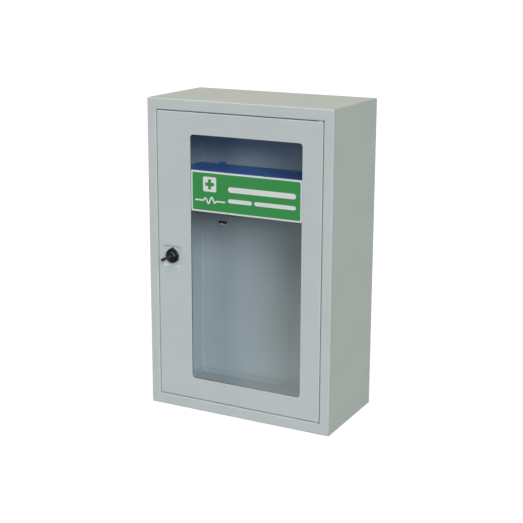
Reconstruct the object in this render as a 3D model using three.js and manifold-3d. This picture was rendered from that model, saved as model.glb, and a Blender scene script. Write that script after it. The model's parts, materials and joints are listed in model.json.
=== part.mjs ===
// Glazed steel wall cabinet for a defibrillator: a folded steel carcass, a hinged door with a
// clear pane and a sign, a removable shelf and a quarter-turn lever lock.
//
// Millimetres, +Z up. The door faces -Y and is hinged on the +X side. The origin is the middle
// of the carcass's underside.
import * as THREE from 'three';
import { mergeVertices } from 'three/addons/utils/BufferGeometryUtils.js';
import Module from 'manifold-3d';

const wasm = await Module();
wasm.setup();

// ---------------------------------------------------------------- driving dimensions

const WIDTH = 450;
const DEPTH = 230;
const HEIGHT = 710;
const SHEET = 1.5; // folded steel of the carcass, door and shelf
const FIT = 0.3; // clearance between pieces that touch

// Carcass: the front frame around the door opening, and the flanges that join the panels.
const STILE = 22.5; // width of the frame beside the door
const BAND = 25; // height of the frame above and below the door
const SEAM_STEP = 2.5; // the stiles end this far short of the band's inner fold
const REVEAL = 20; // depth of the opening in front of the stop lip
const STOP_LIP = 10; // how far the stop lip stands into the opening
const FLANGE = 12; // weld flanges inside the rear and side edges

// Door: a folded pan, with clearance all round.
const DOOR_GAP_SIDE = 1.5;
const DOOR_GAP_END = 1.7;
const DOOR_DEPTH = 17;
const DOOR_RETURN = 10; // lip folded inwards at the back of the pan
const DOOR_EDGE_RADIUS = 2;

// Pivots: pins through the frame into bushes in the door.
const PIVOT_INSET = 7; // from the door's hinge edge to the axis
const PIVOT_SETBACK = 5.5; // from the door's front face to the axis
const PIN_RADIUS = 2;
const PIN_HEAD_RADIUS = 3.6;
const PIN_HEAD_HEIGHT = 2;
const PIN_REACH = 11; // length of pin inside the door
const BUSH_BORE_RADIUS = 2.25;
const BUSH_RADIUS = 3;
const BUSH_FLANGE_RADIUS = 4.5;
const BUSH_FLANGE_HEIGHT = 1.1;
const BUSH_LENGTH = 8;
const PIVOT_PLATE_LENGTH = 23;
const PIVOT_PLATE_DEPTH = 12;
const PIVOT_PLATE_THICKNESS = 2;

// Window cut-out in the door, and the pane, gasket and retainers behind it.
const WINDOW_LEFT = -116;
const WINDOW_RIGHT = 155;
const WINDOW_BOTTOM = 76.5;
const WINDOW_TOP = 635.5;
const WINDOW_CORNER = 8;
const PANE_OVERLAP = 12; // pane edge beyond the cut-out
const PANE_THICKNESS = 4;
const GASKET_THICKNESS = 1;
const GASKET_INSET = 1; // gasket kept out of sight behind the cut-out's edge
const RETAINER_WIDTH = 23;
const RETAINER_INSET = 3; // retainer kept out of sight behind the cut-out's edge
const STUD_OUTSET = 7; // weld studs beyond the pane's edge
const STUD_RADIUS = 2;
const STUD_LENGTH = 12.5;
const NUT_WIDTH = 7;
const NUT_HEIGHT = 3.2;
const RETAINER_STUD_FROM_END = 70;

// Sign on the outside of the pane.
const SIGN_WIDTH = 270;
const SIGN_HEIGHT = 91;
const SIGN_MIDDLE_Z = 512;
const SIGN_BORDER = 4;
const SIGN_BACKING = 0.5;
const SIGN_FIELD = 0.3;
const SIGN_CORNER = 3;

// Shelf, the slots that its rear tabs enter, and the brackets under its ends.
const SHELF_TOP = 533;
const SHELF_PITCH = 146; // from the shelf's level down to the spare level
const SHELF_FRONT = -85;
const SHELF_BACK_CLEARANCE = 4; // shelf edge to the back panel's inner face
const SHELF_END_CLEARANCE = 1;
const SHELF_FRONT_LIP = 20;
const SHELF_REAR_LIP = 12;
const SLOT_X = 164;
const SLOT_WIDTH = 20;
const SLOT_HEIGHT = 6;
const SLOT_CORNER = 1;
const TAB_WIDTH = 19;
const LUG_HEIGHT = 9;
const LUG_DEPTH = 3.5;
const PLUG_RIM = 0.8; // rim of a blanking plug beyond its slot
const PLUG_RIM_THICKNESS = 1;
const BRACKET_LEG = 18;
const BRACKET_LENGTH = 40;
const BRACKET_FRONT = -60;

// Keyhole slots that hang the cabinet on wall screws.
const KEYHOLE_X = 150;
const KEYHOLE_Z = 640;
const KEYHOLE_RADIUS = 6;
const KEYHOLE_SLOT_RADIUS = 3;
const KEYHOLE_RISE = 12;

// Rubber buffers on the stop lip at the lock side.
const BUFFER_RADIUS = 4.5;
const BUFFER_FROM_END = 115;

// Lever lock, in a square dish pressed into the door.
const LOCK_X = -165.5;
const LOCK_Z = 357;
const DISH_SIZE = 47;
const DISH_CORNER = 6;
const DISH_DEPTH = 3;
const BEZEL_RADIUS = 16;
const BEZEL_TIP = 19.5; // the teardrop's point above the axis
const BEZEL_PROUD = 3.5; // front of the bezel beyond the door's face
const HUB_RADIUS = 11.7;
const HUB_RECESS_RADIUS = 12.2;
const HUB_RECESS = 3;
const HUB_PROUD = 8;
const BARREL_RADIUS = 9;
const BARREL_BORE = 5.5;
const BARREL_LENGTH = 21;
const LOCK_NUT_WIDTH = 24;
const LOCK_NUT_HEIGHT = 4;
const SPINDLE_RADIUS = 5;
const SPINDLE_SQUARE = 7;
const CAM_FRONT = 22.4; // from the door's face back to the cam
const CAM_THICKNESS = 2.5;
const CAM_LENGTH = 36;
const CAM_WIDTH = 16;
const CAM_SCREW_RADIUS = 2.2;
const CAM_SCREW_HEAD_RADIUS = 4.5;
const CAM_SCREW_HEAD_HEIGHT = 3;
const CAM_SCREW_LENGTH = 9;
const CAM_WASHER_RADIUS = 6;
const CAM_WASHER_HEIGHT = 1;
const LEVER_RADIUS = 4.2;
const LEVER_REACH = 10; // tip sideways from the axis
const LEVER_HEIGHT = 30; // tip in front of the door's face
const LEVER_DROOP = THREE.MathUtils.degToRad(25); // below the level line at rest

const ROUND = 24; // segments round a cylinder
const ROUND_SMALL = 12; // segments round a stud, nut or screw
const ARC = 4; // segments round a small corner

// ---------------------------------------------------------------- places worked out from them

const HALF_WIDTH = WIDTH / 2;
const FRONT = -DEPTH / 2;
const BACK = DEPTH / 2;
const BACK_INNER = BACK - SHEET;
const OPENING_X = HALF_WIDTH - STILE;
const LIP_FRONT = FRONT + REVEAL;
const LIP_BACK = LIP_FRONT + SHEET;
const STILE_BOTTOM = BAND - SEAM_STEP + FIT;
const STILE_TOP = HEIGHT - STILE_BOTTOM;

const DOOR_X = OPENING_X - DOOR_GAP_SIDE;
const DOOR_BOTTOM = BAND + DOOR_GAP_END;
const DOOR_TOP = HEIGHT - DOOR_BOTTOM;
const DOOR_BACK = FRONT + DOOR_DEPTH;
const DOOR_INNER = FRONT + SHEET;
const PIVOT_X = DOOR_X - PIVOT_INSET;
const PIVOT_Y = FRONT + PIVOT_SETBACK;

const GASKET_FRONT = DOOR_INNER + FIT;
const PANE_FRONT = GASKET_FRONT + GASKET_THICKNESS + FIT;
const RETAINER_FRONT = PANE_FRONT + PANE_THICKNESS + FIT;
const SHELF_UNDERSIDE = SHELF_TOP - SHEET;

// ---------------------------------------------------------------- shapes and solids

/** Turns a closed three.js geometry into a solid that can be joined and cut. */
function solid(geometry) {
  geometry.deleteAttribute('normal');
  geometry.deleteAttribute('uv');
  const welded = mergeVertices(geometry);
  const corners = welded.index.array;
  const triangles = [];
  for (let i = 0; i < corners.length; i += 3) {
    const [a, b, c] = corners.slice(i, i + 3);
    if (a !== b && b !== c && c !== a) triangles.push(a, b, c);
  }
  return new wasm.Manifold(new wasm.Mesh({
    numProp: 3,
    vertProperties: Float32Array.from(welded.attributes.position.array),
    triVerts: Uint32Array.from(triangles),
  }));
}

/** The surface of a solid as a three.js geometry. */
function surface(body) {
  const mesh = body.getMesh();
  const geometry = new THREE.BufferGeometry();
  geometry.setAttribute('position', new THREE.BufferAttribute(mesh.vertProperties, 3));
  geometry.setIndex(new THREE.BufferAttribute(mesh.triVerts, 1));
  geometry.computeVertexNormals();
  return geometry;
}

const join = (first, ...others) => others.reduce((body, other) => body.add(other), first);
const cut = (first, ...others) => others.reduce((body, other) => body.subtract(other), first);

/** A block between two x, two y and two z values, in any order. */
function block([x0, x1], [y0, y1], [z0, z1]) {
  const geometry = new THREE.BoxGeometry(Math.abs(x1 - x0), Math.abs(y1 - y0), Math.abs(z1 - z0));
  return solid(geometry.translate((x0 + x1) / 2, (y0 + y1) / 2, (z0 + z1) / 2));
}

const AXES = {
  x: new THREE.Vector3(1, 0, 0),
  y: new THREE.Vector3(0, 1, 0),
  z: new THREE.Vector3(0, 0, 1),
  minusY: new THREE.Vector3(0, -1, 0),
};

/** Extrudes an outline drawn in x and z through the thickness from y0 back to y1. */
function plate(outline, y0, y1) {
  const geometry = new THREE.ExtrudeGeometry(outline, {
    depth: y1 - y0, bevelEnabled: false, curveSegments: ARC,
  });
  geometry.applyMatrix4(new THREE.Matrix4().makeBasis(AXES.x, AXES.z, AXES.minusY));
  return solid(geometry.translate(0, y1, 0));
}

/** Extrudes a profile drawn in y and z along x, from x0 to x1. */
function profileAlongX(outline, x0, x1) {
  const geometry = new THREE.ExtrudeGeometry(outline, {
    depth: x1 - x0, bevelEnabled: false, curveSegments: ARC,
  });
  geometry.applyMatrix4(new THREE.Matrix4().makeBasis(AXES.y, AXES.z, AXES.x));
  return solid(geometry.translate(x0, 0, 0));
}

/** A rectangle with rounded corners. */
function roundedRectangle(left, right, bottom, top, radius) {
  const shape = new THREE.Shape();
  shape.absarc(right - radius, bottom + radius, radius, -Math.PI / 2, 0);
  shape.absarc(right - radius, top - radius, radius, 0, Math.PI / 2);
  shape.absarc(left + radius, top - radius, radius, Math.PI / 2, Math.PI);
  shape.absarc(left + radius, bottom + radius, radius, Math.PI, 1.5 * Math.PI);
  shape.closePath();
  return shape;
}

/** A turned solid about the y axis, from [radius, y] pairs given from one end to the other. */
function turned(pairs, segments = ROUND) {
  const points = pairs.map(([radius, y]) => new THREE.Vector2(radius, y));
  const body = solid(new THREE.LatheGeometry(points, segments));
  return body.volume() > 0 ? body : solid(new THREE.LatheGeometry(points.reverse(), segments));
}

/** A cylinder along y, centred on x and z. */
function rodY(radius, y0, y1, x = 0, z = 0, segments = ROUND) {
  return turned([[0, y0], [radius, y0], [radius, y1], [0, y1]], segments).translate([x, 0, z]);
}

/** A cylinder along z, centred on x and y. */
function rodZ(radius, z0, z1, x, y) {
  return rodY(radius, z0, z1).rotate([90, 0, 0]).translate([x, y, 0]);
}

/** A hexagonal prism along y with a round bore. */
function hexNut(acrossFlats, boreRadius, y0, y1, segments) {
  const cornerRadius = acrossFlats / Math.sqrt(3);
  const bore = rodY(boreRadius, y0 - FIT, y1 + FIT, 0, 0, segments);
  return cut(rodY(cornerRadius, y0, y1, 0, 0, 6), bore);
}

// ---------------------------------------------------------------- materials

function finish(color, roughness, metalness, extra = {}) {
  return new THREE.MeshStandardMaterial({ color, roughness, metalness, flatShading: true, ...extra });
}

const GREY_PAINT = finish('#b4bab8', 0.45, 0.1);
const BLUE_PAINT = finish('#2a4f8f', 0.45, 0.1);
const ZINC = finish('#a9adb0', 0.35, 0.9);
const BLACK_PLASTIC = finish('#15171a', 0.4, 0);
const NYLON = finish('#e6e3da', 0.5, 0);
const RUBBER = finish('#1d1e20', 0.8, 0);
const CLEAR = finish('#dfe9ea', 0.05, 0, { transparent: true, opacity: 0.25 });
const SIGN_WHITE = finish('#f4f6f4', 0.35, 0);
const SIGN_GREEN = finish('#40a054', 0.35, 0);

/** Adds one named piece to a group, at an optional position. */
function piece(group, name, material, body, position = [0, 0, 0]) {
  const mesh = new THREE.Mesh(surface(body), material);
  mesh.name = name;
  mesh.position.set(...position);
  group.add(mesh);
}

// ---------------------------------------------------------------- carcass

/** The top or bottom tray. Offsets run from its outer face towards the middle of the cabinet. */
function tray(outerZ, inward) {
  const z = (near, far) => [outerZ + inward * near, outerZ + inward * far];
  const openingX = [-(OPENING_X - FIT), OPENING_X - FIT];
  const innerX = HALF_WIDTH - SHEET - FIT;
  const rearY = [BACK_INNER - FIT - SHEET, BACK_INNER - FIT];
  const sideFlange = (side) => block(
    [side * innerX, side * (innerX - SHEET)], [FRONT + SHEET, rearY[1]], z(0, FLANGE),
  );
  const body = join(
    block([-HALF_WIDTH, HALF_WIDTH], [FRONT, BACK], z(0, SHEET)),
    block([-HALF_WIDTH, HALF_WIDTH], [FRONT, FRONT + SHEET], z(0, BAND - SEAM_STEP)),
    block(openingX, [FRONT, FRONT + SHEET], z(0, BAND)),
    block(openingX, [FRONT, LIP_BACK], z(BAND - SHEET, BAND)),
    block(openingX, [LIP_FRONT, LIP_BACK], z(BAND - SHEET, BAND + STOP_LIP)),
    block([-innerX, innerX], rearY, z(0, FLANGE)),
    sideFlange(-1),
    sideFlange(1),
  );
  return cut(body, rodZ(PIN_RADIUS + FIT, 0, HEIGHT, PIVOT_X, PIVOT_Y)
    .intersect(block([0, HALF_WIDTH], [FRONT, BACK], z(SHEET + FIT, BAND + FIT))));
}

/** The left (-1) or right (+1) side: wall, stile, reveal, stop lip and rear weld flange. */
function sidePanel(side) {
  const x = (outer, inner) => [side * (HALF_WIDTH - outer), side * (HALF_WIDTH - inner)];
  const wallZ = [SHEET + FIT, HEIGHT - SHEET - FIT];
  const stileZ = [STILE_BOTTOM, STILE_TOP];
  const lipEnd = BAND + STOP_LIP + FIT;
  const flangeEnd = FLANGE + FIT;
  return join(
    block(x(0, SHEET), [FRONT + SHEET + FIT, BACK], wallZ),
    block(x(0, STILE), [FRONT, FRONT + SHEET], stileZ),
    block(x(0, SHEET), [FRONT, FRONT + REVEAL], stileZ),
    block(x(STILE - SHEET, STILE), [FRONT, LIP_BACK], stileZ),
    block(x(STILE - SHEET, STILE + STOP_LIP), [LIP_FRONT, LIP_BACK], [lipEnd, HEIGHT - lipEnd]),
    block(x(0, SHEET + FLANGE), [BACK_INNER - FIT - SHEET, BACK_INNER - FIT],
      [flangeEnd, HEIGHT - flangeEnd]),
  );
}

/** A slot through the back panel whose lower edge sits at bottomZ. */
function shelfSlot(x, bottomZ) {
  const half = SLOT_WIDTH / 2;
  const outline = roundedRectangle(x - half, x + half, bottomZ, bottomZ + SLOT_HEIGHT, SLOT_CORNER);
  return plate(outline, BACK_INNER - LUG_DEPTH - FIT, BACK + FIT);
}

/** The pressed lug under a slot: a ramp that swells into the cabinet towards the slot. */
function shelfLug(x, topZ) {
  const ramp = new THREE.Shape();
  ramp.moveTo(BACK_INNER + FIT, topZ);
  ramp.lineTo(BACK_INNER - LUG_DEPTH, topZ);
  ramp.quadraticCurveTo(BACK_INNER - LUG_DEPTH, topZ - LUG_HEIGHT / 2, BACK_INNER, topZ - LUG_HEIGHT);
  ramp.lineTo(BACK_INNER + FIT, topZ - LUG_HEIGHT);
  return profileAlongX(ramp, x - SLOT_WIDTH / 2, x + SLOT_WIDTH / 2);
}

/** A keyhole: a round entry with a narrower slot rising from it. */
function keyhole(x) {
  const slot = block([x - KEYHOLE_SLOT_RADIUS, x + KEYHOLE_SLOT_RADIUS], [BACK_INNER - FIT, BACK + FIT],
    [KEYHOLE_Z, KEYHOLE_Z + KEYHOLE_RISE]);
  return join(
    rodY(KEYHOLE_RADIUS, BACK_INNER - FIT, BACK + FIT, x, KEYHOLE_Z),
    rodY(KEYHOLE_SLOT_RADIUS, BACK_INNER - FIT, BACK + FIT, x, KEYHOLE_Z + KEYHOLE_RISE),
    slot,
  );
}

function backPanel() {
  const edgeX = HALF_WIDTH - SHEET - FIT;
  const slotBottoms = [SHELF_UNDERSIDE - FIT, SHELF_UNDERSIDE - FIT - SHELF_PITCH];
  let body = block([-edgeX, edgeX], [BACK_INNER, BACK], [SHEET + FIT, HEIGHT - SHEET - FIT]);
  for (const x of [-SLOT_X, SLOT_X]) {
    for (const bottom of slotBottoms) {
      body = cut(join(body, shelfLug(x, bottom)), shelfSlot(x, bottom));
    }
  }
  return cut(body, keyhole(-KEYHOLE_X), keyhole(KEYHOLE_X));
}

/** A blanking plug in a spare slot. Its rim lies inside the cabinet, above the lug. */
function slotPlug(x) {
  const half = SLOT_WIDTH / 2;
  const bottom = SHELF_UNDERSIDE - SHELF_PITCH;
  const slotTop = bottom - FIT + SLOT_HEIGHT;
  const body = roundedRectangle(x - half + FIT, x + half - FIT, bottom, slotTop - FIT, SLOT_CORNER);
  const rimHalf = half + PLUG_RIM;
  const rim = roundedRectangle(x - rimHalf, x + rimHalf, bottom, slotTop + PLUG_RIM, SLOT_CORNER);
  const rimFront = BACK_INNER - FIT - PLUG_RIM_THICKNESS;
  return join(plate(body, rimFront, BACK - FIT), plate(rim, rimFront, BACK_INNER - FIT));
}

/** The shelf: a plate with front and rear lips folded down and hooked tabs that fill the slots. */
function shelf() {
  const edgeX = HALF_WIDTH - SHEET - SHELF_END_CLEARANCE;
  const back = BACK_INNER - SHELF_BACK_CLEARANCE;
  const level = [SHELF_UNDERSIDE, SHELF_TOP];
  const hookTop = SHELF_UNDERSIDE + SLOT_HEIGHT - 2 * FIT;
  const tabX = (x) => [x - TAB_WIDTH / 2, x + TAB_WIDTH / 2];
  const tab = (x) => join(
    block(tabX(x), [back - SHEET, BACK - FIT], level),
    block(tabX(x), [BACK - FIT - SHEET, BACK - FIT], [SHELF_UNDERSIDE, hookTop]),
  );
  const rearLip = (x0, x1) => block([x0, x1], [back - SHEET, back], [SHELF_TOP - SHELF_REAR_LIP, SHELF_TOP]);
  const notch = SLOT_WIDTH / 2 + SHEET;
  return join(
    block([-edgeX, edgeX], [SHELF_FRONT, back], level),
    block([-edgeX, edgeX], [SHELF_FRONT, SHELF_FRONT + SHEET], [SHELF_TOP - SHELF_FRONT_LIP, SHELF_TOP]),
    rearLip(-edgeX, -SLOT_X - notch),
    rearLip(-SLOT_X + notch, SLOT_X - notch),
    rearLip(SLOT_X + notch, edgeX),
    tab(-SLOT_X),
    tab(SLOT_X),
  );
}

/** The angle welded inside a side wall, under the end of the shelf. */
function shelfBracket(side) {
  const wallX = HALF_WIDTH - SHEET - FIT;
  const top = SHELF_UNDERSIDE - FIT;
  const y = [BRACKET_FRONT, BRACKET_FRONT + BRACKET_LENGTH];
  return join(
    block([side * wallX, side * (wallX - SHEET)], y, [top - BRACKET_LEG, top]),
    block([side * wallX, side * (wallX - BRACKET_LEG)], y, [top - SHEET, top]),
  );
}

/** A pivot pin. Offsets run from the outer face of its band towards the middle of the cabinet. */
function pivotPin(outerZ, inward) {
  const z = (near, far) => [near, far].map((offset) => outerZ + inward * offset).sort((a, b) => a - b);
  const headInner = BAND - SHEET - FIT;
  const tip = BAND + DOOR_GAP_END + PIN_REACH;
  return join(
    rodZ(PIN_HEAD_RADIUS, ...z(headInner - PIN_HEAD_HEIGHT, headInner), PIVOT_X, PIVOT_Y),
    rodZ(PIN_RADIUS, ...z(headInner - FIT, tip), PIVOT_X, PIVOT_Y),
  );
}

function carcass() {
  const group = new THREE.Group();
  piece(group, 'top_tray', GREY_PAINT, tray(HEIGHT, -1));
  piece(group, 'bottom_tray', GREY_PAINT, tray(0, 1));
  piece(group, 'left_side', GREY_PAINT, sidePanel(-1));
  piece(group, 'right_side', GREY_PAINT, sidePanel(1));
  piece(group, 'back_panel', GREY_PAINT, backPanel());
  piece(group, 'shelf', BLUE_PAINT, shelf());
  piece(group, 'slot_plug_left', BLACK_PLASTIC, slotPlug(-SLOT_X));
  piece(group, 'slot_plug_right', BLACK_PLASTIC, slotPlug(SLOT_X));
  piece(group, 'shelf_bracket_left', GREY_PAINT, shelfBracket(-1));
  piece(group, 'shelf_bracket_right', GREY_PAINT, shelfBracket(1));
  piece(group, 'upper_pivot_pin', ZINC, pivotPin(HEIGHT, -1));
  piece(group, 'lower_pivot_pin', ZINC, pivotPin(0, 1));
  const bufferX = -(OPENING_X - STOP_LIP / 2);
  const buffer = rodY(BUFFER_RADIUS, DOOR_BACK + FIT, LIP_FRONT - FIT);
  piece(group, 'door_buffer_upper', RUBBER, buffer, [bufferX, 0, HEIGHT - BUFFER_FROM_END]);
  piece(group, 'door_buffer_lower', RUBBER, buffer, [bufferX, 0, BUFFER_FROM_END]);
  return group;
}

// ---------------------------------------------------------------- door

/** The outline of the door inset by a margin, as a block between two y values. */
function doorBlock(margin, y0, y1) {
  return block([-DOOR_X + margin, DOOR_X - margin], [y0, y1], [DOOR_BOTTOM + margin, DOOR_TOP - margin]);
}

/** The full depth of the door with its front edges rounded. */
function doorOuter() {
  const outline = roundedRectangle(-DOOR_X, DOOR_X, DOOR_BOTTOM, DOOR_TOP, DOOR_EDGE_RADIUS);
  let body = plate(outline, FRONT + DOOR_EDGE_RADIUS, DOOR_BACK);
  for (let step = 0; step < ARC; step += 1) {
    const inset = (angle) => DOOR_EDGE_RADIUS * (1 - Math.cos(angle));
    const rise = (angle) => DOOR_EDGE_RADIUS * Math.sin(angle);
    const from = (step * Math.PI) / 2 / ARC;
    const to = ((step + 1) * Math.PI) / 2 / ARC;
    const margin = inset(to);
    const ring = roundedRectangle(-DOOR_X + margin, DOOR_X - margin, DOOR_BOTTOM + margin,
      DOOR_TOP - margin, DOOR_EDGE_RADIUS);
    body = join(body, plate(ring, FRONT + DOOR_EDGE_RADIUS - rise(to), FRONT + DOOR_EDGE_RADIUS - rise(from)));
  }
  return body;
}

/** Places of the weld studs: two along each edge of the pane, [x, z]. */
function studPlaces() {
  const left = WINDOW_LEFT - PANE_OVERLAP - STUD_OUTSET;
  const right = WINDOW_RIGHT + PANE_OVERLAP + STUD_OUTSET;
  const bottom = WINDOW_BOTTOM - PANE_OVERLAP - STUD_OUTSET;
  const top = WINDOW_TOP + PANE_OVERLAP + STUD_OUTSET;
  const places = [];
  for (const z of [WINDOW_BOTTOM + RETAINER_STUD_FROM_END, WINDOW_TOP - RETAINER_STUD_FROM_END]) {
    places.push([left, z], [right, z]);
  }
  for (const x of [WINDOW_LEFT + RETAINER_STUD_FROM_END, WINDOW_RIGHT - RETAINER_STUD_FROM_END]) {
    places.push([x, bottom], [x, top]);
  }
  return places;
}

/** The square dish around the lock, grown by a margin, between two y values. */
function dishBlock(margin, y0, y1) {
  const half = DISH_SIZE / 2 + margin;
  const outline = roundedRectangle(LOCK_X - half, LOCK_X + half, LOCK_Z - half, LOCK_Z + half,
    DISH_CORNER + margin);
  return plate(outline, y0, y1);
}

function doorPanel() {
  const window = roundedRectangle(WINDOW_LEFT, WINDOW_RIGHT, WINDOW_BOTTOM, WINDOW_TOP, WINDOW_CORNER);
  const pan = cut(
    doorOuter(),
    doorBlock(SHEET, DOOR_INNER, DOOR_BACK - SHEET),
    doorBlock(SHEET + DOOR_RETURN, DOOR_BACK - SHEET - FIT, DOOR_BACK + FIT),
    plate(window, FRONT - FIT, DOOR_INNER + FIT),
  );
  const dished = cut(
    join(pan, dishBlock(SHEET, DOOR_INNER - FIT, FRONT + DISH_DEPTH + SHEET)),
    dishBlock(0, FRONT - FIT, FRONT + DISH_DEPTH),
    rodY(BARREL_RADIUS + FIT, FRONT, FRONT + DOOR_DEPTH, LOCK_X, LOCK_Z),
    rodZ(BUSH_RADIUS + FIT, 0, HEIGHT, PIVOT_X, PIVOT_Y),
  );
  const studs = studPlaces().map(([x, z]) => (
    rodY(STUD_RADIUS, DOOR_INNER - FIT, DOOR_INNER + STUD_LENGTH, x, z, ROUND_SMALL)));
  return join(dished, ...studs);
}

/** A stiffening plate inside the door's end, around the bush. Offsets run inwards from the door's end. */
function pivotPlate(doorEnd, inward) {
  const near = SHEET + FIT;
  const z = [doorEnd + inward * near, doorEnd + inward * (near + PIVOT_PLATE_THICKNESS)];
  const right = DOOR_X - SHEET - FIT;
  const front = DOOR_INNER + FIT;
  return cut(
    block([right - PIVOT_PLATE_LENGTH, right], [front, front + PIVOT_PLATE_DEPTH], z),
    rodZ(BUSH_RADIUS + FIT, 0, HEIGHT, PIVOT_X, PIVOT_Y),
  );
}

/** A flanged bush in the door's end, bored for the pin. */
function pivotBush(doorEnd, inward) {
  const z = (near, far) => [near, far].map((offset) => doorEnd + inward * offset).sort((a, b) => a - b);
  const flangeInner = -FIT;
  const flangeOuter = flangeInner - BUSH_FLANGE_HEIGHT;
  return cut(
    join(
      rodZ(BUSH_FLANGE_RADIUS, ...z(flangeOuter, flangeInner), PIVOT_X, PIVOT_Y),
      rodZ(BUSH_RADIUS, ...z(flangeInner - FIT, BUSH_LENGTH), PIVOT_X, PIVOT_Y),
    ),
    rodZ(BUSH_BORE_RADIUS, 0, HEIGHT, PIVOT_X, PIVOT_Y),
  );
}

/** A rectangle around the window cut-out, grown by a margin, between two y values. */
function windowBlock(margin, y0, y1) {
  return block([WINDOW_LEFT - margin, WINDOW_RIGHT + margin], [y0, y1],
    [WINDOW_BOTTOM - margin, WINDOW_TOP + margin]);
}

function glazing(group) {
  piece(group, 'glazing_gasket', RUBBER, cut(
    windowBlock(PANE_OVERLAP, GASKET_FRONT, GASKET_FRONT + GASKET_THICKNESS),
    windowBlock(GASKET_INSET, GASKET_FRONT - FIT, GASKET_FRONT + GASKET_THICKNESS + FIT),
  ));
  piece(group, 'glazing_pane', CLEAR, windowBlock(PANE_OVERLAP, PANE_FRONT, PANE_FRONT + PANE_THICKNESS));

  const y = [RETAINER_FRONT, RETAINER_FRONT + SHEET];
  const studHoles = studPlaces().map(([x, z]) => (
    rodY(STUD_RADIUS + FIT, y[0] - FIT, y[1] + FIT, x, z, ROUND_SMALL)));
  const inner = RETAINER_INSET;
  const outer = RETAINER_INSET + RETAINER_WIDTH;
  const fullZ = [WINDOW_BOTTOM - outer, WINDOW_TOP + outer];
  const betweenX = [WINDOW_LEFT - inner + FIT, WINDOW_RIGHT + inner - FIT];
  const strips = {
    left: block([WINDOW_LEFT - outer, WINDOW_LEFT - inner], y, fullZ),
    right: block([WINDOW_RIGHT + inner, WINDOW_RIGHT + outer], y, fullZ),
    top: block(betweenX, y, [WINDOW_TOP + inner, WINDOW_TOP + outer]),
    bottom: block(betweenX, y, [WINDOW_BOTTOM - outer, WINDOW_BOTTOM - inner]),
  };
  for (const [edge, strip] of Object.entries(strips)) {
    piece(group, `pane_retainer_${edge}`, GREY_PAINT, cut(strip, ...studHoles));
  }

  const nutFront = y[1] + FIT;
  const nut = hexNut(NUT_WIDTH, STUD_RADIUS + FIT, nutFront, nutFront + NUT_HEIGHT, ROUND_SMALL);
  studPlaces().forEach(([x, z], index) => {
    piece(group, `retainer_nut_${index + 1}`, ZINC, nut, [x, 0, z]);
  });
}

/** A rounded panel of the sign, inset from its edge, standing forward from backY. */
function signPanel(inset, backY, thickness) {
  const middleX = (WINDOW_LEFT + WINDOW_RIGHT) / 2;
  const halfWidth = SIGN_WIDTH / 2 - inset;
  const halfHeight = SIGN_HEIGHT / 2 - inset;
  const outline = roundedRectangle(middleX - halfWidth, middleX + halfWidth,
    SIGN_MIDDLE_Z - halfHeight, SIGN_MIDDLE_Z + halfHeight, SIGN_CORNER);
  return plate(outline, backY - thickness, backY);
}

function sign(group) {
  const backingY = PANE_FRONT - FIT;
  const fieldY = backingY - SIGN_BACKING - FIT;
  piece(group, 'sign_backing', SIGN_WHITE, signPanel(0, backingY, SIGN_BACKING));
  piece(group, 'sign_field', SIGN_GREEN, signPanel(SIGN_BORDER, fieldY, SIGN_FIELD));
}

function door() {
  const group = new THREE.Group();
  piece(group, 'door_panel', GREY_PAINT, doorPanel());
  piece(group, 'upper_pivot_plate', ZINC, pivotPlate(DOOR_TOP, -1));
  piece(group, 'lower_pivot_plate', ZINC, pivotPlate(DOOR_BOTTOM, 1));
  piece(group, 'upper_pivot_bush', NYLON, pivotBush(DOOR_TOP, -1));
  piece(group, 'lower_pivot_bush', NYLON, pivotBush(DOOR_BOTTOM, 1));
  glazing(group);
  sign(group);
  group.add(lock());
  return group;
}

// ---------------------------------------------------------------- lock
//
// The lock is drawn around its own axis, with y = 0 at the door's front face.

/** The teardrop bezel in the dish, with the threaded barrel that passes through the door. */
function lockBody() {
  const dishFloor = DISH_DEPTH - FIT;
  const bezel = rodY(BEZEL_RADIUS, -BEZEL_PROUD, dishFloor);
  const tangent = Math.acos(BEZEL_RADIUS / BEZEL_TIP);
  const point = new THREE.Shape();
  point.moveTo(0, BEZEL_TIP);
  point.lineTo(-BEZEL_RADIUS * Math.sin(tangent), BEZEL_RADIUS * Math.cos(tangent));
  point.lineTo(BEZEL_RADIUS * Math.sin(tangent), BEZEL_RADIUS * Math.cos(tangent));
  return cut(
    join(bezel, plate(point, -BEZEL_PROUD, dishFloor), rodY(BARREL_RADIUS, 0, BARREL_LENGTH)),
    rodY(HUB_RECESS_RADIUS, -BEZEL_PROUD - FIT, -BEZEL_PROUD + HUB_RECESS),
    rodY(BARREL_BORE, -BEZEL_PROUD, BARREL_LENGTH + FIT),
  );
}

/** The hub and the thumb lever that sweeps forward and outward from it. */
function lockLever() {
  const hubBack = -BEZEL_PROUD + HUB_RECESS - FIT;
  const hub = turned([
    [0, hubBack], [HUB_RADIUS, hubBack], [HUB_RADIUS, -BEZEL_PROUD - 2],
    [HUB_RADIUS - 3, -HUB_PROUD + 1], [HUB_RADIUS - 6, -HUB_PROUD], [0, -HUB_PROUD],
  ]);
  const towards = new THREE.Vector3(-Math.cos(LEVER_DROOP), 0, -Math.sin(LEVER_DROOP));
  const at = (reach, height) => towards.clone().multiplyScalar(reach).setY(-height);
  const start = at(0, HUB_PROUD / 2);
  const bend = at(LEVER_REACH / 3, LEVER_HEIGHT * 0.6);
  const end = at(LEVER_REACH, LEVER_HEIGHT - LEVER_RADIUS);
  const section = new THREE.Shape().absarc(0, 0, LEVER_RADIUS, 0, 2 * Math.PI);
  const arm = new THREE.ExtrudeGeometry(section, {
    steps: 8, curveSegments: ROUND_SMALL, extrudePath: new THREE.QuadraticBezierCurve3(start, bend, end),
  });
  const tip = new THREE.SphereGeometry(LEVER_RADIUS, ROUND_SMALL, ROUND_SMALL / 2);
  return join(hub, solid(arm), solid(tip.translate(end.x, end.y, end.z)));
}

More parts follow.
